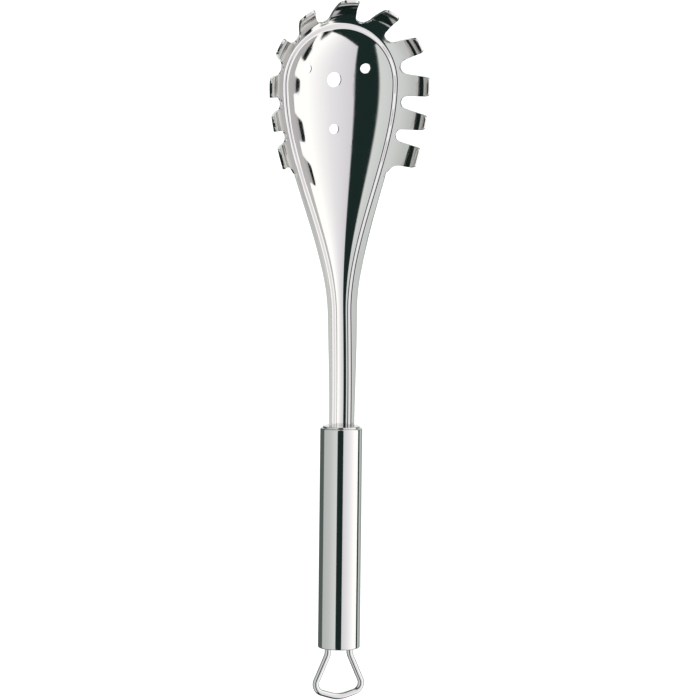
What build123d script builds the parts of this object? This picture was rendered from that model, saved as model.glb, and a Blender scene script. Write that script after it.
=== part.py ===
"""Stainless-steel pasta server: a toothed, drained bowl on a channelled neck, a round hollow handle
and a wire loop that swings in the handle's lower end.

Millimetres. Z runs up the handle's axis towards the bowl, the bowl opens towards -Y and X is its
width. The origin is on the axis, halfway up the handle, where a hand closes round it.
"""
from build123d import *
from itertools import combinations
from math import atan, cos, degrees, radians, sin
import os

# Handle tube, and the cap and plug that close it
handle_length = 102.0
handle_diameter = 19.5
handle_wall = 0.9
handle_end_round = 0.8
seat_clearance = 0.05
cap_rim_diameter = 17.0
cap_rim_height = 0.8
cap_rim_round = 0.35
cap_depth = 5.0
neck_slot_clearance = 0.08
plug_thickness = 4.0

# Head, pressed from one sheet: the bowl with its rim, and the neck with its channel and bands
sheet = 1.2
bowl_radius = 26.0
bowl_depth = 9.0
bowl_setback = 6.0
bowl_centre_height = 157.0
bowl_rim = 3.3
ridge_radius = 1.4
ridge_foot_radius = 1.5
neck_ridge_fall_angle = 10.0
bowl_ridge_fall_angle = 20.0
neck_rise_angle = 45.0
rim_rise_angle = 36.0
channel_half_width = 3.4
channel_depth = 1.1
neck_forward = 0.5
neck_foot_band = 1.95
neck_shoulder_band = 2.95
tang_length = 11.0

# Teeth, flared up from the rim, and the slots between them
tooth_flare_radius = 22.6
tooth_tip_angle = 74.5
tooth_tip_round = 2.2
tooth_side_angle = 7.8
top_tooth_side_angle = 14.5
top_tooth_span_angle = 36.0
tooth_pitch_angle = 29.0
round_slots = 3
slot_width = 4.8
slot_root_round = 2.0
neck_sweep_radius = 4.5
lowest_tooth_angle = 8.0
tip_corner_tolerance = 0.05

# The tips' rounding stays under this share of the least distance between two edges that it takes
tip_round_share = 0.48

# Drain holes
large_drain_diameter = 6.9
small_drain_diameter = 4.6
side_drain_spread = 28.2

# Wire loop, and the lug that it hangs from
wire_diameter = 3.0
pin_clearance = 0.05
pin_end_gap = 1.0
pin_bend_radius = 2.1
loop_leg_spread = 10.6
loop_corner_spread = 25.2
loop_drop = 25.6
loop_knee_radius = 6.0
loop_corner_radius = 4.2
loop_bottom_radius = 14.0
pivot_depth = 2.4
lug_width = 6.0
lug_wall = 1.6
plug_face_clearance = 1.0

# Where the neck changes, as shares of the height from the handle's top to the bowl's centre
widening_share = 0.331
setback_start_share = 0.06
setback_end_share = 0.86
shoulder_share = 0.38
round_rim_share = 0.52
lowest_tooth_share = 0.742
neck_spans = 24
bowl_spans = 8

# Slots beside the lower teeth: shares of the way down to the lowest tooth, directions, half spreads
side_slot_shares = (0.20, 0.575)
side_slot_directions = (-10.0, -10.0)
side_slot_spreads = (12.5, 11.0)

# Heights of the drain holes above the bowl's centre, as shares of the bowl's radius
large_drain_share = 0.06
side_drain_share = 0.26
low_drain_share = -0.81

# Heights of the loop's bends below its pivot, as shares of its drop
loop_knee_share = 0.21
loop_corner_share = 0.85

handle_top = handle_length / 2
bowl_centre = handle_top + bowl_centre_height
handle_bore = handle_diameter - 2 * handle_wall
seat_diameter = handle_bore - 2 * seat_clearance
overrun = 2 * handle_diameter
pivot_z = pivot_depth - handle_length / 2
pin_bore_diameter = wire_diameter + 2 * pin_clearance
lug_radius = pin_bore_diameter / 2 + lug_wall
plug_face_z = pivot_z + wire_diameter / 2 + plug_face_clearance


def smooth_share(value, start, end):
    """Share that grows smoothly from 0 at the start to 1 at the end."""
    share = min(max((value - start) / (end - start), 0.0), 1.0)
    return share * share * (3 - 2 * share)


def blend(first, last, share):
    """Value that lies the given share of the way from the first to the last."""
    return first + (last - first) * share


def neck_form(height_share):
    """Form at one height: half width to the ridge, depth, the ridge's place in Y, the rim's width,
    the fall from the ridge to the rim and the rim's rise, both as angles.
    """
    widening = smooth_share(height_share, widening_share, 1)
    setback = smooth_share(height_share, setback_start_share, setback_end_share)
    foot_to_shoulder = smooth_share(height_share, 0, shoulder_share)
    shoulder_to_rim = smooth_share(height_share, shoulder_share, round_rim_share)
    to_lowest_tooth = smooth_share(height_share, shoulder_share, lowest_tooth_share)
    band = blend(neck_foot_band, neck_shoulder_band, foot_to_shoulder)
    return (
        blend(channel_half_width, bowl_radius, widening),
        blend(channel_depth, bowl_depth, widening),
        blend(-neck_forward, bowl_setback, setback),
        blend(band, bowl_rim, shoulder_to_rim),
        blend(neck_ridge_fall_angle, bowl_ridge_fall_angle, widening),
        blend(neck_rise_angle, rim_rise_angle, to_lowest_tooth),
    )


def edge_half_width(height_share):
    """Half width of the sheet out to the rim's outer edge, without teeth."""
    half_width, _, _, band, _, _ = neck_form(height_share)
    return half_width + band


def edge_slope(height_share):
    """Growth of that half width with height, where the rim keeps its full width."""
    share = (height_share - widening_share) / (1 - widening_share)
    growth = 6 * share * (1 - share) / (1 - widening_share)
    return (bowl_radius - channel_half_width) * growth / bowl_centre_height


def bend_strip(start, steps):
    """Front and back corners of a bent strip that starts level, with each bend's middle points.

    A step is a length, a front radius and a turn in degrees, positive towards the bowl's open side.
    """
    x, y = start
    heading = 0.0
    corners = [(None, None, (x, y), (x, y + sheet))]
    for length, radius, turn in steps:
        if turn == 0:
            x += length * cos(radians(heading))
            y -= length * sin(radians(heading))
            middles = (None, None)
        else:
            side = -1 if turn > 0 else 1
            centre_x = x + side * radius * sin(radians(heading))
            centre_y = y + side * radius * cos(radians(heading))
            middle = radians(heading + turn / 2)
            heading += turn
            middles = tuple(
                (centre_x - side * reach * sin(middle), centre_y - side * reach * cos(middle))
                for reach in (radius, radius - side * sheet)
            )
            x = centre_x - side * radius * sin(radians(heading))
            y = centre_y - side * radius * cos(radians(heading))
        back = (x + sheet * sin(radians(heading)), y + sheet * cos(radians(heading)))
        corners.append((*middles, (x, y), back))
    return corners


def head_steps(height_share, toothed):
    """Start and steps of the right half of the pressed section at one height."""
    half_width, depth, front, band, fall, rise = neck_form(height_share)
    wall_angle = 2 * degrees(atan(depth / half_width))
    wall_radius = half_width / sin(radians(wall_angle)) - ridge_radius
    ridge_foot = (ridge_radius + ridge_foot_radius) * sin(radians(fall))
    ridge_foot += ridge_foot_radius * sin(radians(rise))
    steps = [
        (0, wall_radius, wall_angle),
        (0, ridge_radius, -wall_angle - fall),
        (0, ridge_foot_radius, fall + rise),
        ((band - ridge_foot) / cos(radians(rise)), 0, 0),
    ]
    if toothed:
        steps.append((0, tooth_flare_radius, tooth_tip_angle - rise))
    return (0, front + depth), steps


def edge_between(start, middle, end, height):
    """Line, or arc where a middle point is given, between two section points at one height."""
    points = [Vector(*point, height) for point in (start, middle, end) if point is not None]
    return Edge.make_line(*points) if middle is None else Edge.make_three_point_arc(*points)


def mirrored(point):
    """Section point on the other side of the bowl's middle."""
    return None if point is None else (-point[0], point[1])


def head_section(height_share, toothed):
    """Whole closed section of the pressing at one height."""
    start, steps = head_steps(height_share, toothed)
    corners = bend_strip(start, steps)
    height = handle_top + height_share * bowl_centre_height
    edges = []
    for middle_index, end_index in ((0, 2), (1, 3)):
        first = corners[1][end_index]
        edges.append(edge_between(mirrored(first), corners[0][end_index], first, height))
        for previous, current in zip(corners[1:], corners[2:]):
            bend = (previous[end_index], current[middle_index], current[end_index])
            edges.append(edge_between(*bend, height))
            edges.append(edge_between(*(mirrored(point) for point in bend), height))
    front_tip, back_tip = corners[-1][2:]
    edges.append(edge_between(front_tip, None, back_tip, height))
    edges.append(edge_between(mirrored(front_tip), None, mirrored(back_tip), height))
    return Face(Wire(edges))


def bowl_profile():
    """Right half of the section through the bowl's centre, closed along its middle."""
    corners = bend_strip(*head_steps(1, True))
    edges = [edge_between(corners[0][2], None, corners[0][3], bowl_centre)]
    for middle_index, end_index in ((0, 2), (1, 3)):
        for previous, current in zip(corners, corners[1:]):
            bend = (previous[end_index], current[middle_index], current[end_index])
            edges.append(edge_between(*bend, bowl_centre))
    edges.append(edge_between(corners[-1][2], None, corners[-1][3], bowl_centre))
    return Face(Wire(edges))


def slot_cutter(root_x, root_z, direction, spread):
    """Rounded slot through the teeth that opens outwards from its root in the rim."""
    mouth = slot_width / 2 + overrun * sin(radians(spread)) / cos(radians(spread))
    outline = make_face(
        Polyline(
            (0, -slot_width / 2),
            (overrun, -mouth),
            (overrun, mouth),
            (0, slot_width / 2),
            close=True,
        )
    )
    outline = fillet(outline.vertices().sort_by(Axis.X)[:2], slot_root_round)
    outward = (cos(radians(direction)), 0, sin(radians(direction)))
    face = Plane(origin=(root_x, 0, root_z), x_dir=outward, z_dir=(0, -1, 0))
    return extrude(face * outline, amount=overrun, both=True)


def tooth_slots():
    """Slots between the teeth on the bowl's right half, from the top down."""
    edge_radius = bowl_radius + bowl_rim
    slots = []
    for index in range(round_slots):
        place = top_tooth_span_angle / 2 + index * tooth_pitch_angle
        after = place + tooth_pitch_angle / 2 + tooth_side_angle
        before = place - tooth_pitch_angle / 2 - tooth_side_angle
        if index == 0:
            before = -top_tooth_side_angle
        slots.append(
            slot_cutter(
                edge_radius * sin(radians(place)),
                bowl_centre + edge_radius * cos(radians(place)),
                90 - (before + after) / 2,
                (after - before) / 2,
            )
        )
    for down_share, direction, spread in zip(
        side_slot_shares, side_slot_directions, side_slot_spreads
    ):
        height_share = blend(1, lowest_tooth_share, down_share)
        root_z = handle_top + height_share * bowl_centre_height
        slots.append(slot_cutter(edge_half_width(height_share), root_z, direction, spread))
    return slots


def neck_sweep_cutter():
    """Space below the lowest tooth, with the concave sweep from that tooth into the neck."""
    root_x = edge_half_width(lowest_tooth_share) + sheet * sin(radians(rim_rise_angle))
    root_z = handle_top + lowest_tooth_share * bowl_centre_height
    heading = 90 - degrees(atan(edge_slope(lowest_tooth_share)))
    turn = -heading - lowest_tooth_angle
    sweep = JernArc(
        start=(root_x, root_z),
        tangent=(cos(radians(heading)), sin(radians(heading))),
        radius=neck_sweep_radius,
        arc_size=turn,
    )
    tooth_side = sweep @ 1
    outer_z = tooth_side.Y - overrun * sin(radians(lowest_tooth_angle))
    rest = Polyline(
        tooth_side,
        (tooth_side.X + overrun * cos(radians(lowest_tooth_angle)), outer_z),
        (tooth_side.X + overrun, root_z - overrun),
        (root_x, root_z - overrun),
        (root_x, root_z),
    )
    face = Plane(origin=(0, 0, 0), x_dir=(1, 0, 0), z_dir=(0, -1, 0))
    return extrude(face * make_face([sweep, rest]), amount=overrun, both=True)


def drain_cutters():
    """Round holes straight through the bowl's floor, one large and three small."""
    places = (
        (0, large_drain_share, large_drain_diameter),
        (-side_drain_spread / 2, side_drain_share, small_drain_diameter),
        (side_drain_spread / 2, side_drain_share, small_drain_diameter),
        (0, low_drain_share, small_drain_diameter),
    )
    return [
        Pos(x, 0, bowl_centre + share * bowl_radius)
        * Rot(90, 0, 0)
        * Cylinder(diameter / 2, 2 * overrun)
        for x, share, diameter in places
    ]


def least_spacing(edges):
    """Least distance between the middles of two of the edges."""
    places = [edge.center() for edge in edges]
    return min((first - second).length for first, second in combinations(places, 2))


def make_server_head():
    """Pressed bowl, rim, teeth, neck and tang in one piece."""
    foot = head_section(0, False)
    tang = extrude(foot, amount=tang_length, dir=(0, 0, -1))
    neck_shares = [blend(0, lowest_tooth_share, span / neck_spans) for span in range(neck_spans + 1)]
    bowl_shares = [blend(lowest_tooth_share, 1, span / bowl_spans) for span in range(bowl_spans + 1)]
    neck = loft([head_section(share, False) for share in neck_shares])
    lower_bowl = loft([head_section(share, True) for share in bowl_shares])
    middle = Axis((0, 0, bowl_centre), (0, 1, 0))
    upper_bowl = revolve(bowl_profile(), axis=middle, revolution_arc=-180)
    cutters = tooth_slots() + [neck_sweep_cutter()]
    cutters += [mirror(cutter, about=Plane.YZ) for cutter in cutters]
    bowl = lower_bowl + upper_bowl
    bowl = bowl - cutters
    bowl = bowl - drain_cutters()
    raised_edges = bowl.edges().filter_by(lambda edge: edge.center().Y < 0)
    # The seam between the bowl's halves crosses one tooth a side, and its edge at the tip counts too
    tip_corners = raised_edges.filter_by(
        lambda edge: abs(edge.length - sheet) < tip_corner_tolerance
    )
    tip_round = min(tooth_tip_round, tip_round_share * least_spacing(tip_corners))
    bowl = fillet(tip_corners, tip_round)
    return tang + neck + bowl


def make_neck_cap():
    """Stepped cap in the tube's upper end, with a slot that fits round the neck."""
    seat = Pos(0, 0, handle_top - cap_depth) * Cylinder(
        seat_diameter / 2, cap_depth, align=(Align.CENTER, Align.CENTER, Align.MIN)
    )
    rim = Pos(0, 0, handle_top) * Cylinder(
        cap_rim_diameter / 2, cap_rim_height, align=(Align.CENTER, Align.CENTER, Align.MIN)
    )
    rim = fillet(rim.edges().sort_by(Axis.Z)[-1], cap_rim_round)
    slot_face = offset(head_section(0, False), amount=neck_slot_clearance)
    slot = extrude(slot_face, amount=cap_depth + cap_rim_height, both=True)
    return seat + rim - slot


def make_handle_tube():
    """Round tube with softened ends."""
    tube = Cylinder(handle_diameter / 2, handle_length)
    tube = fillet(tube.edges().filter_by(GeomType.CIRCLE), handle_end_round)
    return tube - Cylinder(handle_bore / 2, 2 * handle_length)


def make_end_plug():
    """Plug inside the tube's lower end, with the bored lug that carries the loop."""
    plug = Pos(0, 0, plug_face_z) * Cylinder(
        seat_diameter / 2, plug_thickness, align=(Align.CENTER, Align.CENTER, Align.MIN)
    )
    pivot = Pos(0, 0, pivot_z) * Rot(0, 90, 0)
    lug_height = plug_face_z - pivot_z + plug_thickness / 2
    lug = pivot * Cylinder(lug_radius, lug_width)
    lug += Pos(0, 0, pivot_z) * Box(
        lug_width, 2 * lug_radius, lug_height, align=(Align.CENTER, Align.CENTER, Align.MIN)
    )
    return plug + lug - pivot * Cylinder(pin_bore_diameter / 2, 2 * lug_width)


def make_hanging_loop():
    """Bent wire whose two ends turn in and pivot in the lug."""
    leg_x = loop_leg_spread / 2
    right_half = [
        (pin_end_gap / 2, 0),
        (leg_x, 0),
        (leg_x, -loop_knee_share * loop_drop),
        (loop_corner_spread / 2, -loop_corner_share * loop_drop),
    ]
    bottom = [(0, -loop_drop)]
    left_half = [(-x, z) for x, z in reversed(right_half)]
    bends = [pin_bend_radius, loop_knee_radius, loop_corner_radius]
    face = Plane(origin=(0, 0, pivot_z), x_dir=(1, 0, 0), z_dir=(0, -1, 0))
    path = face * FilletPolyline(
        *(right_half + bottom + left_half),
        radius=bends + [loop_bottom_radius] + bends[::-1],
    )
    wire = Plane(origin=path @ 0, z_dir=path % 0) * Circle(wire_diameter / 2)
    return sweep(wire, path=path)


pieces = {
    "server_head": make_server_head,
    "neck_cap": make_neck_cap,
    "handle_tube": make_handle_tube,
    "end_plug": make_end_plug,
    "hanging_loop": make_hanging_loop,
}

os.makedirs("parts", exist_ok=True)
for node, make_piece in pieces.items():
    export_step(make_piece(), f"parts/{node}.step")
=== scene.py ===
"""Stainless-steel pasta server: its polished pressing, handle and bent wire loop, fitted over the
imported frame, on a white floor in a studio of soft panels.

Lengths of the object are written in millimetres and turned to metres when a mesh is made.
"""
import bpy
import bmesh
from math import atan, cos, degrees, pi, radians, sin, sqrt, tan
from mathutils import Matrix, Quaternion, Vector


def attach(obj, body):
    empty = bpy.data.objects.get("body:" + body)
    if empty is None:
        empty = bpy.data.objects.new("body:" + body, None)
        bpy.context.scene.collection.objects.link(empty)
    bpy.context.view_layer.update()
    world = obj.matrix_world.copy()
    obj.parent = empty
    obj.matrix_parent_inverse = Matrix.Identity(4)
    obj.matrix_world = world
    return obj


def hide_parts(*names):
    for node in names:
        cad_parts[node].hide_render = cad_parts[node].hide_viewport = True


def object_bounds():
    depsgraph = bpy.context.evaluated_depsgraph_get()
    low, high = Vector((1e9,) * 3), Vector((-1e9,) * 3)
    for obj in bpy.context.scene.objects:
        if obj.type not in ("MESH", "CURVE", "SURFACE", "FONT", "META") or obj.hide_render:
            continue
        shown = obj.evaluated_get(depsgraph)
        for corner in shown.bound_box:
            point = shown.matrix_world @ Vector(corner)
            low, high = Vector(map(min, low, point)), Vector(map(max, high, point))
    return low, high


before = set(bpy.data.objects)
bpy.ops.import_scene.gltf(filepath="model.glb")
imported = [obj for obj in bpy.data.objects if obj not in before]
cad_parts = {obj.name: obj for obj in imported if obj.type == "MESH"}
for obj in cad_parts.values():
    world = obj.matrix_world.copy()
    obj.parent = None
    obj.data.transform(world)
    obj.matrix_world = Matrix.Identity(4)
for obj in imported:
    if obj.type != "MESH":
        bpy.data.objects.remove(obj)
cad_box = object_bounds()

MM = 0.001

# Handle tube
handle_length = 102.0
handle_diameter = 19.5
handle_wall = 0.9
handle_end_round = 0.8
inner_lip = 3.0
tube_sides = 192
tube_bands = 12
rounding_step = 10

# Head, pressed from one sheet
sheet = 1.2
bowl_radius = 26.0
bowl_depth = 9.0
bowl_setback = 6.0
bowl_centre_height = 157.0
bowl_rim = 3.3
ridge_radius = 1.4
ridge_foot_radius = 1.5
neck_ridge_fall_angle = 10.0
bowl_ridge_fall_angle = 20.0
neck_rise_angle = 45.0
rim_rise_angle = 36.0
channel_half_width = 3.4
channel_depth = 1.1
neck_forward = 0.5
neck_foot_band = 1.95
neck_shoulder_band = 2.95
tang_length = 11.0
tang_square_end = 1.0
widening_share = 0.331
setback_start_share = 0.06
setback_end_share = 0.86
shoulder_share = 0.38
round_rim_share = 0.52
lowest_tooth_share = 0.742

# Teeth and the slots between them
tooth_flare_radius = 22.6
tooth_tip_angle = 74.5
tooth_tip_round = 2.2
tooth_side_angle = 7.8
top_tooth_side_angle = 14.5
top_tooth_span_angle = 36.0
tooth_pitch_angle = 29.0
slot_width = 4.8
slot_root_round = 2.0
neck_sweep_radius = 4.5
lowest_tooth_angle = 8.0
sheet_edge_round = 0.15

# Slots beside the lower teeth, from the neck up: share of the way down to the lowest tooth,
# direction and half spread
side_slots = ((0.575, -10.0, 11.0), (0.20, -10.0, 12.5))

# Drain holes, with their heights above the bowl's centre as shares of the bowl's radius
large_drain_diameter = 6.9
small_drain_diameter = 4.6
side_drain_spread = 28.2
large_drain_share = 0.06
side_drain_share = 0.26
low_drain_share = -0.81
drill_length = 30.0
drill_sides = 72

# Wire loop, with the heights of its bends below the pivot as shares of its drop
wire_diameter = 3.0
wire_end_round = 0.35
pin_end_gap = 1.0
pin_bend_radius = 2.1
loop_leg_spread = 10.6
loop_corner_spread = 25.2
loop_drop = 25.6
loop_knee_share = 0.21
loop_corner_share = 0.85
loop_knee_radius = 6.0
loop_corner_radius = 4.2
loop_bottom_radius = 14.0
pivot_depth = 2.4
wire_sides = 40
bend_step_angle = 4
least_bend_steps = 6

handle_top = handle_length / 2
bowl_centre = handle_top + bowl_centre_height
pivot_z = pivot_depth - handle_top

# Places along the pressed section: 0 is the bowl's middle, and each bend or flat adds one
rim_edge_place = 4
tip_place = 5
tooth_length = tooth_flare_radius * radians(tooth_tip_angle - rim_rise_angle)
lowest_path = (lowest_tooth_share - 1) * bowl_centre_height

# How finely the pressing is divided along its path, and across each bend and flat of its section
tang_rows = 4
neck_rows = 110
tooth_columns = 14
wall_columns = 34
crest_columns = 9
ridge_foot_columns = 6
rim_columns = 4
flare_columns = 26
tip_angles = (90, 67.5, 45, 22.5, 0)

# Halvings, and reach beyond a slot's root in millimetres or degrees, when a slot's side is sought
halvings = 36
search_reach = 12

# A row nearer than this to the seam between the bowl's halves would be taken for the seam's own
seam_nearness = 0.01


def linear(hex_colour):
    """Linear red, green, blue and alpha of an sRGB hex colour."""
    shares = [int(hex_colour[i : i + 2], 16) / 255 for i in (1, 3, 5)]
    return (*(s / 12.92 if s <= 0.04045 else ((s + 0.055) / 1.055) ** 2.4 for s in shares), 1)


def smooth_share(value, start, end):
    """Share that grows smoothly from 0 at the start to 1 at the end."""
    share = min(max((value - start) / (end - start), 0), 1)
    return share * share * (3 - 2 * share)


def between(first, last, share):
    """Value that lies the given share of the way from the first to the last."""
    return first + (last - first) * share


def neck_form(height_share):
    """Form at one height: half width to the ridge, depth, ridge's place in Y, rim width, fall and rise."""
    widening = smooth_share(height_share, widening_share, 1)
    setback = smooth_share(height_share, setback_start_share, setback_end_share)
    foot_to_shoulder = smooth_share(height_share, 0, shoulder_share)
    shoulder_to_rim = smooth_share(height_share, shoulder_share, round_rim_share)
    to_lowest_tooth = smooth_share(height_share, shoulder_share, lowest_tooth_share)
    band = between(neck_foot_band, neck_shoulder_band, foot_to_shoulder)
    return (
        between(channel_half_width, bowl_radius, widening),
        between(channel_depth, bowl_depth, widening),
        between(-neck_forward, bowl_setback, setback),
        between(band, bowl_rim, shoulder_to_rim),
        between(neck_ridge_fall_angle, bowl_ridge_fall_angle, widening),
        between(neck_rise_angle, rim_rise_angle, to_lowest_tooth),
    )


def section_point(height_share, place):
    """Front point of the pressed section and the direction from it through the sheet, both as X and Y."""
    half_width, depth, front, band, fall, rise = neck_form(height_share)
    wall_angle = 2 * degrees(atan(depth / half_width))
    wall_radius = half_width / sin(radians(wall_angle)) - ridge_radius
    ridge_foot = (ridge_radius + ridge_foot_radius) * sin(radians(fall))
    ridge_foot += ridge_foot_radius * sin(radians(rise))
    steps = (
        (0, wall_radius, wall_angle),
        (0, ridge_radius, -wall_angle - fall),
        (0, ridge_foot_radius, fall + rise),
        ((band - ridge_foot) / cos(radians(rise)), 0, 0),
        (0, tooth_flare_radius, tooth_tip_angle - rise),
    )
    x, y, heading = 0, front + depth, 0
    for index, (length, radius, turn) in enumerate(steps):
        share = min(max(place - index, 0), 1)
        start, end = radians(heading), radians(heading + turn * share)
        way = 1 if turn > 0 else -1
        x += length * share * cos(start) + way * radius * (sin(end) - sin(start))
        y -= length * share * sin(start) + way * radius * (cos(start) - cos(end))
        heading += turn * share
    return (x, y), (sin(radians(heading)), cos(radians(heading)))


def head_point(path, place):
    """Point on the right half's front and the direction through the sheet.

    The path is millimetres up to the bowl's centre where it is negative, and then degrees round the bowl.
    """
    if path <= 0:
        (x, y), (out, back) = section_point(1 + path / bowl_centre_height, place)
        return (x, y, bowl_centre + path), (out, back, 0)
    (x, y), (out, back) = section_point(1, place)
    side, up = cos(radians(path)), sin(radians(path))
    return (x * side, y, bowl_centre + x * up), (out * side, back, out * up)


def path_where(measure, low, high):
    """Path at which a measure that grows along it passes zero."""
    for _ in range(halvings):
        middle = (low + high) / 2
        if measure(middle) < 0:
            low = middle
        else:
            high = middle
    return (low + high) / 2


def tooth_slots():
    """Slots on the right half from the neck up: root across and up, direction and half spread."""
    slots = []
    for down_share, direction, spread in side_slots:
        share = between(1, lowest_tooth_share, down_share)
        half_width, _, _, band, _, _ = neck_form(share)
        slots.append((half_width + band, handle_top + share * bowl_centre_height, direction, spread))
    edge_radius = bowl_radius + bowl_rim
    for index in (2, 1, 0):
        place = top_tooth_span_angle / 2 + index * tooth_pitch_angle
        after = place + tooth_pitch_angle / 2 + tooth_side_angle
        before = place - tooth_pitch_angle / 2 - tooth_side_angle
        if index == 0:
            before = -top_tooth_side_angle
        root_x = edge_radius * sin(radians(place))
        root_z = bowl_centre + edge_radius * cos(radians(place))
        slots.append((root_x, root_z, 90 - (before + after) / 2, (after - before) / 2))
    return slots


def slot_measure(slot, point, side):
    """How far a point is past one side of a slot: 1 is its upper side, -1 its lower and 0 its middle."""
    root_x, root_z, direction, spread = slot
    across, up = point[0] - root_x, point[2] - root_z
    along = max(across * cos(radians(direction)) + up * sin(radians(direction)), 0)
    aside = up * cos(radians(direction)) - across * sin(radians(direction))
    half_gap = slot_width / 2 + along * tan(radians(spread))
    if along < slot_root_round:
        half_gap -= slot_root_round - sqrt(slot_root_round**2 - (slot_root_round - along) ** 2)
    return aside - side * half_gap


def neck_sweep_height(x):
    """Height of the concave sweep from the neck into the lowest tooth, at one X."""
    half_width, _, _, band, _, _ = neck_form(lowest_tooth_share)
    root_x = half_width + band + sheet * sin(radians(rim_rise_angle))
    root_z = handle_top + lowest_tooth_share * bowl_centre_height
    share = (lowest_tooth_share - widening_share) / (1 - widening_share)
    growth = 6 * share * (1 - share) / (1 - widening_share)
    slope = (bowl_radius - channel_half_width) * growth / bowl_centre_height
    heading = pi / 2 - atan(slope)
    centre_x = root_x + neck_sweep_radius * sin(heading)
    centre_z = root_z - neck_sweep_radius * cos(heading)
    end_x = centre_x + neck_sweep_radius * sin(radians(lowest_tooth_angle))
    if x <= root_x:
        return root_z
    if x < end_x:
        return centre_z + sqrt(neck_sweep_radius**2 - (x - centre_x) ** 2)
    end_z = centre_z + neck_sweep_radius * cos(radians(lowest_tooth_angle))
    return end_z - (x - end_x) * tan(radians(lowest_tooth_angle))


def spread_out(first, last, count):
    """Evenly spread values, ends included."""
    return [between(first, last, i / count) for i in range(count + 1)]


tip_rounds = [tooth_tip_round * (1 - cos(radians(angle))) for angle in tip_angles]
tip_places = [tip_place - left / tooth_length for left in tip_rounds]
tooth_places = spread_out(rim_edge_place, tip_places[0], flare_columns)[:-1] + tip_places
skin_places = [0]
for step, columns in enumerate((wall_columns, crest_columns, ridge_foot_columns, rim_columns)):
    skin_places += spread_out(step, step + 1, columns)[1:]


def tooth_rows():
    """For each tooth on the right half, from the neck up, its rows of paths, one row for each place."""
    slots = tooth_slots()
    roots = []
    for slot in slots:

        def past_middle(path):
            return slot_measure(slot, head_point(path, rim_edge_place)[0], 0)

        roots.append(path_where(past_middle, lowest_path, 90))
    teeth = []
    for index in range(len(slots) + 1):
        low_root = roots[index - 1] if index else lowest_path
        high_root = roots[index] if index < len(slots) else 90
        rows = []
        for place in tooth_places:
            bracket = (low_root - search_reach, min(high_root + search_reach, 90))

            def past_low_side(path):
                point = head_point(path, place)[0]
                if index == 0:
                    return point[2] - neck_sweep_height(point[0])
                return slot_measure(slots[index - 1], point, 1)

            def past_high_side(path):
                return slot_measure(slots[index], head_point(path, place)[0], -1)

            low = path_where(past_low_side, *bracket)
            high = path_where(past_high_side, *bracket) if index < len(slots) else 90
            left = (tip_place - place) * tooth_length
            if left < tooth_tip_round:
                cut = tooth_tip_round - sqrt(max(tooth_tip_round**2 - (tooth_tip_round - left) ** 2, 0))
                ahead = Vector(head_point(low + 1, place)[0])
                cut /= (ahead - Vector(head_point(low, place)[0])).length
                low += cut
                high -= cut if index < len(slots) else 0
            rows.append(spread_out(low, high, tooth_columns))
        teeth.append(rows)
    return teeth


class Skin:
    """Faces of the pressing's front, with the direction through the sheet at each corner."""

    def __init__(self):
        self.points, self.through, self.faces, self.index_of = [], [], [], {}

    def corner(self, point, through):
        """Number of the corner at this point, shared by all the faces that meet there."""
        key = tuple(round(value, 5) for value in point)
        if key not in self.index_of:
            self.index_of[key] = len(self.points)
            self.points.append(point)
            self.through.append(through)
        return self.index_of[key]

    def face(self, corners):
        """Adds a face on the right half and its mirror image on the left."""
        for side in (1, -1):
            ring = []
            for (x, y, z), (out, back, up) in corners:
                number = self.corner((side * x + 0.0, y, z), (side * out, back, up))
                if number not in ring:
                    ring.append(number)
            if len(ring) > 2:
                self.faces.append(ring[::side])

    def grid(self, rows):
        """Adds the faces of a grid, given as rows of points with their directions."""
        for low_row, high_row in zip(rows, rows[1:]):
            for i in range(len(low_row) - 1):
                self.face((low_row[i], low_row[i + 1], high_row[i + 1], high_row[i]))


def finished_mesh(name, bm, sharp_angle=50):
    """Object made from a bmesh in millimetres, smooth but for its sharp edges."""
    bmesh.ops.recalc_face_normals(bm, faces=bm.faces)
    bmesh.ops.scale(bm, vec=(MM, MM, MM), verts=bm.verts)
    mesh = bpy.data.meshes.new(name)
    bm.to_mesh(mesh)
    bm.free()
    mesh.shade_smooth()
    mesh.set_sharp_from_angle(angle=radians(sharp_angle))
    piece = bpy.data.objects.new(name, mesh)
    bpy.context.scene.collection.objects.link(piece)
    weighted = piece.modifiers.new("weighted_normals", "WEIGHTED_NORMAL")
    weighted.keep_sharp = True
    return piece


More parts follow.
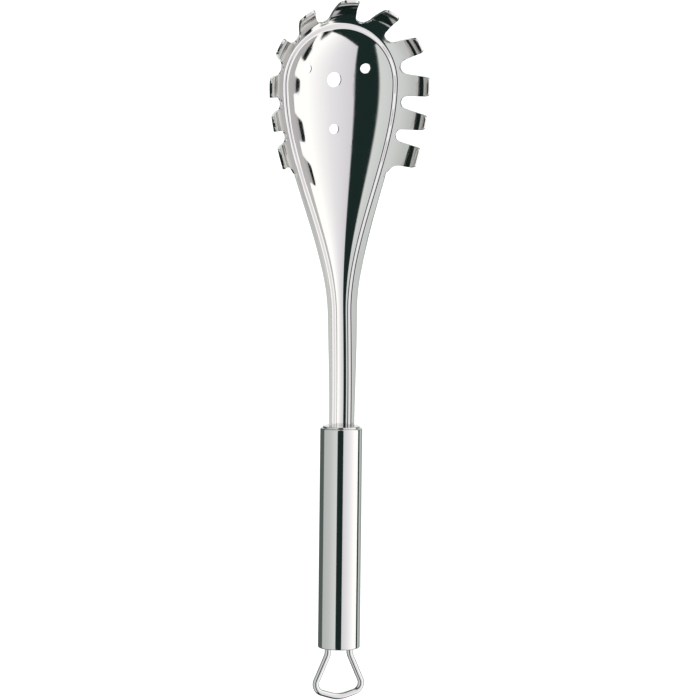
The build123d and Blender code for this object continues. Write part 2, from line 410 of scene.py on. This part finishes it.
def drilled(bm):
    """The pressing with its drain holes cut through, as a new bmesh in millimetres."""
    mesh = bpy.data.meshes.new("pressing_blank")
    bm.to_mesh(mesh)
    bm.free()
    blank = bpy.data.objects.new("pressing_blank", mesh)
    drills = bmesh.new()
    facing_front = Quaternion((1, 0, 0), pi / 2).to_matrix()
    drains = (
        (0, large_drain_share, large_drain_diameter),
        (-side_drain_spread / 2, side_drain_share, small_drain_diameter),
        (side_drain_spread / 2, side_drain_share, small_drain_diameter),
        (0, low_drain_share, small_drain_diameter),
    )
    for across, height_share, diameter in drains:
        radius = diameter / 2
        ring = bmesh.ops.create_cone(
            drills, cap_ends=True, segments=drill_sides, radius1=radius, radius2=radius, depth=drill_length
        )["verts"]
        bmesh.ops.rotate(drills, cent=(0, 0, 0), matrix=facing_front, verts=ring)
        middle = (across, bowl_setback + bowl_depth, bowl_centre + height_share * bowl_radius)
        bmesh.ops.translate(drills, vec=middle, verts=ring)
    drill_mesh = bpy.data.meshes.new("drain_drills")
    drills.to_mesh(drill_mesh)
    drills.free()
    drill = bpy.data.objects.new("drain_drills", drill_mesh)
    for helper in (blank, drill):
        bpy.context.scene.collection.objects.link(helper)
    cut = blank.modifiers.new("drain_holes", "BOOLEAN")
    cut.object, cut.operation, cut.solver = drill, "DIFFERENCE", "EXACT"
    shown = blank.evaluated_get(bpy.context.evaluated_depsgraph_get())
    result = bmesh.new()
    result.from_mesh(shown.to_mesh())
    shown.to_mesh_clear()
    for helper in (blank, drill):
        bpy.data.objects.remove(helper)
    return result


def make_skin():
    """Front of the whole pressing: tang, neck and bowl out to the rim's edge, then the teeth."""
    teeth = tooth_rows()
    teeth[0][0][0] = lowest_path
    bowl_paths = [path for rows in teeth for path in rows[0]]
    neck_foot = -bowl_centre_height
    paths = spread_out(neck_foot - tang_length, neck_foot, tang_rows)[:-1]
    paths += spread_out(neck_foot, lowest_path, neck_rows)[:-1]
    for path, ahead in zip(bowl_paths, bowl_paths[1:] + [90]):
        paths.append(path)
        # One row lies on the seam between the lower bowl and its round upper half
        if path < -seam_nearness and ahead > seam_nearness:
            paths.append(0)
    skin = Skin()
    skin.grid([[head_point(path, place) for place in skin_places] for path in paths])
    for rows in teeth:
        skin.grid([[head_point(p, place) for p in row] for place, row in zip(tooth_places, rows)])
    return skin


def make_head():
    """Bowl, rim, teeth, channelled neck and tang, with softened sheet edges and drain holes."""
    skin = make_skin()
    bm = bmesh.new()
    fronts = [bm.verts.new(point) for point in skin.points]
    backs = [
        bm.verts.new([a + sheet * b for a, b in zip(point, through)])
        for point, through in zip(skin.points, skin.through)
    ]
    edge_faces = {}
    for ring in skin.faces:
        bm.faces.new([fronts[i] for i in ring])
        bm.faces.new([backs[i] for i in reversed(ring)])
        for a, b in zip(ring, ring[1:] + ring[:1]):
            edge_faces.setdefault(frozenset((a, b)), []).append((a, b))
    outline = [used[0] for used in edge_faces.values() if len(used) == 1]
    for a, b in outline:
        bm.faces.new((fronts[b], fronts[a], backs[a], backs[b]))
    rounded = []
    for a, b in outline:
        if min(skin.points[a][2], skin.points[b][2]) > handle_top - tang_length + tang_square_end:
            rounded += [bm.edges.get((side[a], side[b])) for side in (fronts, backs)]
    bmesh.ops.bevel(
        bm,
        geom=rounded,
        offset=sheet_edge_round,
        segments=2,
        profile=0.5,
        affect="EDGES",
        clamp_overlap=False,
    )
    return finished_mesh("bowl_and_neck", drilled(bm))


def make_handle():
    """Tube turned from its profile, with softened ends."""
    outer, inner, half = handle_diameter / 2, handle_diameter / 2 - handle_wall, handle_length / 2
    centre = half - handle_end_round
    rounding = [
        (outer - handle_end_round * (1 - cos(radians(a))), centre + handle_end_round * sin(radians(a)))
        for a in range(0, 91, rounding_step)
    ]
    profile = [(outer, z) for z in spread_out(0, centre, tube_bands)[:-1]] + rounding
    profile += [(inner, half), (inner, half - inner_lip), (inner, 0)]
    profile += [(r, -z) for r, z in reversed(profile[1:-1])]
    bm = bmesh.new()
    rings = []
    for r, z in profile:
        angles = [2 * pi * i / tube_sides for i in range(tube_sides)]
        rings.append([bm.verts.new((r * cos(a), r * sin(a), z)) for a in angles])
    for low, high in zip(rings, rings[1:] + rings[:1]):
        for i in range(tube_sides):
            j = (i + 1) % tube_sides
            bm.faces.new((low[i], low[j], high[j], high[i]))
    return finished_mesh("handle_sleeve", bm, sharp_angle=60)


def wire_path():
    """Centre line from the right end down round the loop to the left end, as X and Z from the pivot."""
    leg_x = loop_leg_spread / 2
    right_half = [
        (pin_end_gap / 2, 0),
        (leg_x, 0),
        (leg_x, -loop_knee_share * loop_drop),
        (loop_corner_spread / 2, -loop_corner_share * loop_drop),
    ]
    left_half = [(-x, z) for x, z in reversed(right_half)]
    corners = [Vector(corner) for corner in right_half + [(0, -loop_drop)] + left_half]
    bends = [pin_bend_radius, loop_knee_radius, loop_corner_radius]
    bends += [loop_bottom_radius] + bends[::-1]
    line = [corners[0]]
    for before, corner, after, radius in zip(corners, corners[1:], corners[2:], bends):
        arriving, leaving = (corner - before).normalized(), (after - corner).normalized()
        turn = arriving.angle(leaving)
        start = corner - arriving * radius * tan(turn / 2)
        way = 1 if arriving.cross(leaving) > 0 else -1
        centre = start + way * radius * Vector((-arriving.y, arriving.x))
        steps = max(least_bend_steps, int(degrees(turn) / bend_step_angle))
        for i in range(steps + 1):
            angle = way * turn * i / steps
            spoke = start - centre
            x = spoke.x * cos(angle) - spoke.y * sin(angle)
            z = spoke.x * sin(angle) + spoke.y * cos(angle)
            line.append(centre + Vector((x, z)))
    line.append(corners[-1])
    return line


def make_loop():
    """Bent wire, round in section, with its two ends turned in to the pivot."""
    line = wire_path()
    bm = bmesh.new()
    rings = []
    for i, point in enumerate(line):
        before, after = line[max(i - 1, 0)], line[min(i + 1, len(line) - 1)]
        along = (after - before).normalized()
        aside = Vector((-along.y, along.x))
        ends_and_radii = [(0, wire_diameter / 2)]
        if i == 0:
            ends_and_radii = [(0, wire_diameter / 2 - wire_end_round), (wire_end_round, wire_diameter / 2)]
        if i == len(line) - 1:
            ends_and_radii = [(-wire_end_round, wire_diameter / 2), (0, wire_diameter / 2 - wire_end_round)]
        for offset, radius in ends_and_radii:
            middle = point + along * offset
            ring = []
            for side in range(wire_sides):
                angle = 2 * pi * side / wire_sides
                x, z = middle + aside * radius * cos(angle)
                ring.append(bm.verts.new((x, radius * sin(angle), pivot_z + z)))
            rings.append(ring)
    for low, high in zip(rings, rings[1:]):
        for i in range(wire_sides):
            j = (i + 1) % wire_sides
            bm.faces.new((low[i], low[j], high[j], high[i]))
    bm.faces.new(rings[0])
    bm.faces.new(rings[-1])
    return finished_mesh("wire_loop", bm, sharp_angle=40)


def add(tree, kind, inputs=None, **settings):
    """Adds a node with its settings; an input is a value or the socket that is linked to it."""
    node = tree.nodes.new(kind)
    for name, value in settings.items():
        setattr(node, name, value)
    for name, value in (inputs or {}).items():
        if isinstance(value, bpy.types.NodeSocket):
            tree.links.new(value, node.inputs[name])
        else:
            node.inputs[name].default_value = value
    return node


wave_spacing = 14.0
smudge_spacing = 6.0
evenest_marks = 0.1
roughest_marks = 0.42


def polished_steel(name, colour, mark_size, mark_height, wave_height, roughness):
    """Stainless steel under a mirror polish.

    Fine buffing marks, with their sizes in millimetres along each axis, and larger smudges soften the
    gloss unevenly between the two roughness values. Slight waves bend the studio's reflections a little.
    """
    material = bpy.data.materials.new(name)
    material.use_nodes = True
    tree = material.node_tree
    tree.nodes.clear()
    place = add(tree, "ShaderNodeTexCoord").outputs["Object"]
    mark_scale = [1 / (size * MM) for size in mark_size]
    wave_scale = 1 / (wave_spacing * MM)
    smudge_scale = 1 / (smudge_spacing * MM)
    stretched = add(tree, "ShaderNodeMapping", {"Vector": place, "Scale": mark_scale})
    marks = add(
        tree, "ShaderNodeTexNoise", {"Vector": stretched.outputs["Vector"], "Scale": 1, "Detail": 3}
    )
    waves = add(tree, "ShaderNodeTexNoise", {"Vector": place, "Scale": wave_scale, "Detail": 1})
    smudges = add(tree, "ShaderNodeTexNoise", {"Vector": place, "Scale": smudge_scale, "Detail": 4})
    uneven = add(
        tree,
        "ShaderNodeMath",
        {0: marks.outputs["Fac"], 1: smudges.outputs["Fac"]},
        operation="MULTIPLY",
    )
    gloss = add(
        tree,
        "ShaderNodeMapRange",
        {
            "Value": uneven.outputs["Value"],
            "From Min": evenest_marks,
            "From Max": roughest_marks,
            "To Min": roughness[0],
            "To Max": roughness[1],
        },
    )
    waved = add(
        tree,
        "ShaderNodeBump",
        {"Height": waves.outputs["Fac"], "Distance": wave_height * MM, "Strength": 1},
    )
    marked = add(
        tree,
        "ShaderNodeBump",
        {
            "Height": marks.outputs["Fac"],
            "Distance": mark_height * MM,
            "Strength": 1,
            "Normal": waved.outputs["Normal"],
        },
    )
    shader = add(
        tree,
        "ShaderNodeBsdfPrincipled",
        {
            "Base Color": linear(colour),
            "Metallic": 1,
            "Roughness": gloss.outputs["Result"],
            "Normal": marked.outputs["Normal"],
        },
    )
    add(tree, "ShaderNodeOutputMaterial", {"Surface": shader.outputs["BSDF"]})
    return material


# Pressed stainless sheet, buffed by hand: a clear mirror with soft waves and marks along its length
sheet_steel = polished_steel(
    "polished_pressed_stainless",
    "#C8C7C4",
    mark_size=(0.5, 0.5, 4),
    mark_height=0.00006,
    wave_height=0.004,
    roughness=(0.03, 0.09),
)
# Drawn stainless tube, polished on a wheel: the marks run round it
tube_steel = polished_steel(
    "polished_stainless_tube",
    "#C8C7C4",
    mark_size=(5, 5, 0.4),
    mark_height=0.00008,
    wave_height=0.002,
    roughness=(0.03, 0.1),
)
# Turned stainless cap: the marks run round the axis, and it is a little duller than the tube
turned_steel = polished_steel(
    "turned_stainless",
    "#C0BFBC",
    mark_size=(1.5, 1.5, 0.3),
    mark_height=0.0002,
    wave_height=0.001,
    roughness=(0.08, 0.2),
)
# Stainless plug inside the tube: left as it was turned, so it is the dullest
plug_steel = polished_steel(
    "plain_turned_stainless",
    "#C9C9C6",
    mark_size=(2, 2, 0.4),
    mark_height=0.0006,
    wave_height=0.001,
    roughness=(0.25, 0.4),
)
# Drawn stainless wire, tumbled bright, with fine marks along it
wire_steel = polished_steel(
    "bright_drawn_stainless_wire",
    "#C8C7C4",
    mark_size=(0.4, 0.4, 3),
    mark_height=0.0001,
    wave_height=0.001,
    roughness=(0.05, 0.12),
)


def dress(piece, material):
    """Gives a piece its only material."""
    piece.data.materials.clear()
    piece.data.materials.append(material)


head = make_head()
dress(head, sheet_steel)
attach(head, "server")
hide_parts("server_head")

sleeve = make_handle()
dress(sleeve, tube_steel)
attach(sleeve, "server")
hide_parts("handle_tube")

loop = make_loop()
dress(loop, wire_steel)
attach(loop, "loop")
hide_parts("hanging_loop")

for node, steel in (("neck_cap", turned_steel), ("end_plug", plug_steel)):
    dress(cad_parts[node], steel)

# Camera, in degrees and millimetres
camera_azimuth = -20.0
camera_pitch = 6.0
camera_distance = 2500.0
camera_roll = 0.67
aim_height = 86.7
aim_aside = 3.57
lens_length = 281.0
sensor_width = 36.0

# Soft panels all round the object, as colours at bearings from the camera, in degrees to its left
# where they are negative and to its right where they are positive
panel_bands = (
    (-180, "#C9CCCC"),
    (-158, "#C9CCCC"),
    (-156, "#1A2826"),
    (-141, "#505856"),
    (-106, "#505856"),
    (-103, "#AEB2B2"),
    (-60, "#B9BDBD"),
    (-21, "#CFD2D2"),
    (-18, "#1A2826"),
    (12, "#1A2826"),
    (14, "#D0CED4"),
    (45, "#E2E1E6"),
    (80, "#FFFFFF"),
    (104, "#FFFFFF"),
    (106, "#1A2826"),
    (118, "#1A2826"),
    (120, "#AEB5B3"),
    (136, "#AEB5B3"),
    (140, "#808886"),
    (156, "#808886"),
    (158, "#C9CCCC"),
)
panel_strength = 1.76

# Downward slope to the panels' feet, steepest at one bearing on either side, and the dark ground
panel_foot_bearing = 62.0
panel_foot_slope = 1.9
least_foot_slope = 1.3
foot_softness = 0.05
ground_colour = "#1A2826"

# Pale floor: its gap below the loop in millimetres, its reach in metres and its glow to the camera
floor_gap = 0.5
floor_reach = 30.0
floor_glow = 0.62


def make_studio_world():
    """World whose panels light the steel and show in it; the camera itself sees plain white."""
    world = bpy.data.worlds.new("studio_panels")
    bpy.context.scene.world = world
    world.use_nodes = True
    tree = world.node_tree
    tree.nodes.clear()
    view = add(tree, "ShaderNodeTexCoord").outputs["Generated"]
    turn = (0, 0, radians(90 - camera_azimuth))
    turned = add(tree, "ShaderNodeMapping", {"Vector": view, "Rotation": turn}, vector_type="VECTOR")
    parts = add(tree, "ShaderNodeSeparateXYZ", {"Vector": turned.outputs["Vector"]})
    bearing = add(
        tree, "ShaderNodeMath", {0: parts.outputs["Y"], 1: parts.outputs["X"]}, operation="ARCTAN2"
    )
    share = add(
        tree,
        "ShaderNodeMapRange",
        {"Value": bearing.outputs["Value"], "From Min": -pi, "From Max": pi},
    )
    ramp = add(tree, "ShaderNodeValToRGB", {"Fac": share.outputs["Result"]})
    stops = ramp.color_ramp.elements
    while len(stops) > 1:
        stops.remove(stops[-1])
    for angle, colour in panel_bands[1:]:
        stops.new((angle + 180) / 360).color = linear(colour)
    stops[0].position, stops[0].color = 0, linear(panel_bands[0][1])
    value = bearing.outputs["Value"]
    for operation, number in (
        ("ABSOLUTE", 0),
        ("SUBTRACT", radians(panel_foot_bearing)),
        ("COSINE", 0),
        ("MULTIPLY", panel_foot_slope),
        ("MAXIMUM", least_foot_slope),
    ):
        value = add(tree, "ShaderNodeMath", {0: value, 1: number}, operation=operation).outputs["Value"]
    foot_slope = value
    height = parts.outputs["Z"]
    square = add(tree, "ShaderNodeMath", {0: height, 1: height}, operation="MULTIPLY").outputs["Value"]
    rest = add(tree, "ShaderNodeMath", {0: 1.0, 1: square}, operation="SUBTRACT").outputs["Value"]
    level = add(tree, "ShaderNodeMath", {0: rest, 1: 0.5}, operation="POWER").outputs["Value"]
    slope = add(tree, "ShaderNodeMath", {0: height, 1: level}, operation="DIVIDE").outputs["Value"]
    above_foot = add(tree, "ShaderNodeMath", {0: slope, 1: foot_slope}, operation="ADD").outputs["Value"]
    on_panel = add(
        tree,
        "ShaderNodeMapRange",
        {"Value": above_foot, "From Min": -foot_softness, "From Max": foot_softness},
    )
    shaded = add(
        tree,
        "ShaderNodeMix",
        {0: on_panel.outputs["Result"], 6: linear(ground_colour), 7: ramp.outputs["Color"]},
        data_type="RGBA",
    )
    panels = add(tree, "ShaderNodeBackground", {"Color": shaded.outputs[2], "Strength": panel_strength})
    white = add(tree, "ShaderNodeBackground", {"Color": (1, 1, 1, 1), "Strength": 1})
    seen = add(tree, "ShaderNodeLightPath").outputs["Is Camera Ray"]
    chosen = add(
        tree,
        "ShaderNodeMixShader",
        {0: seen, 1: panels.outputs["Background"], 2: white.outputs["Background"]},
    )
    add(tree, "ShaderNodeOutputWorld", {"Surface": chosen.outputs["Shader"]})


def make_floor():
    """Pale floor just under the loop, which takes the object's soft shadow."""
    floor_z = cad_box[0].z - floor_gap * MM
    mesh = bpy.data.meshes.new("floor")
    sides = ((-1, -1), (1, -1), (1, 1), (-1, 1))
    corners = [(x * floor_reach, y * floor_reach, floor_z) for x, y in sides]
    mesh.from_pydata(corners, [], [(0, 1, 2, 3)])
    floor = bpy.data.objects.new("floor", mesh)
    bpy.context.scene.collection.objects.link(floor)
    material = bpy.data.materials.new("pale_floor")
    material.use_nodes = True
    tree = material.node_tree
    tree.nodes.clear()
    seen = add(tree, "ShaderNodeLightPath").outputs["Is Camera Ray"]
    matt = add(tree, "ShaderNodeBsdfDiffuse", {"Color": linear("#E6E6E6")})
    lift = add(tree, "ShaderNodeMath", {0: seen, 1: floor_glow}, operation="MULTIPLY")
    glow = add(tree, "ShaderNodeEmission", {"Color": (1, 1, 1, 1), "Strength": lift.outputs["Value"]})
    both = add(tree, "ShaderNodeAddShader", {0: matt.outputs["BSDF"], 1: glow.outputs["Emission"]})
    add(tree, "ShaderNodeOutputMaterial", {"Surface": both.outputs["Shader"]})
    floor.data.materials.append(material)
    floor.visible_glossy = False


def make_camera():
    """Camera at the photograph's viewing angle."""
    azimuth, pitch = radians(camera_azimuth), radians(camera_pitch)
    back = Vector((sin(azimuth) * cos(pitch), -cos(azimuth) * cos(pitch), sin(pitch)))
    right = Vector((cos(azimuth), sin(azimuth), 0))
    data = bpy.data.cameras.new("camera")
    data.lens = lens_length
    data.sensor_width = sensor_width
    camera = bpy.data.objects.new("camera", data)
    bpy.context.scene.collection.objects.link(camera)
    camera.rotation_mode = "QUATERNION"
    aim = Vector((0, 0, aim_height)) + right * aim_aside
    camera.location = (aim + back * camera_distance) * MM
    roll = Quaternion((0, 0, 1), radians(camera_roll))
    camera.rotation_quaternion = (-back).to_track_quat("-Z", "Y") @ roll
    bpy.context.scene.camera = camera


make_studio_world()
make_floor()
make_camera()
bpy.context.scene.view_settings.view_transform = "Standard"
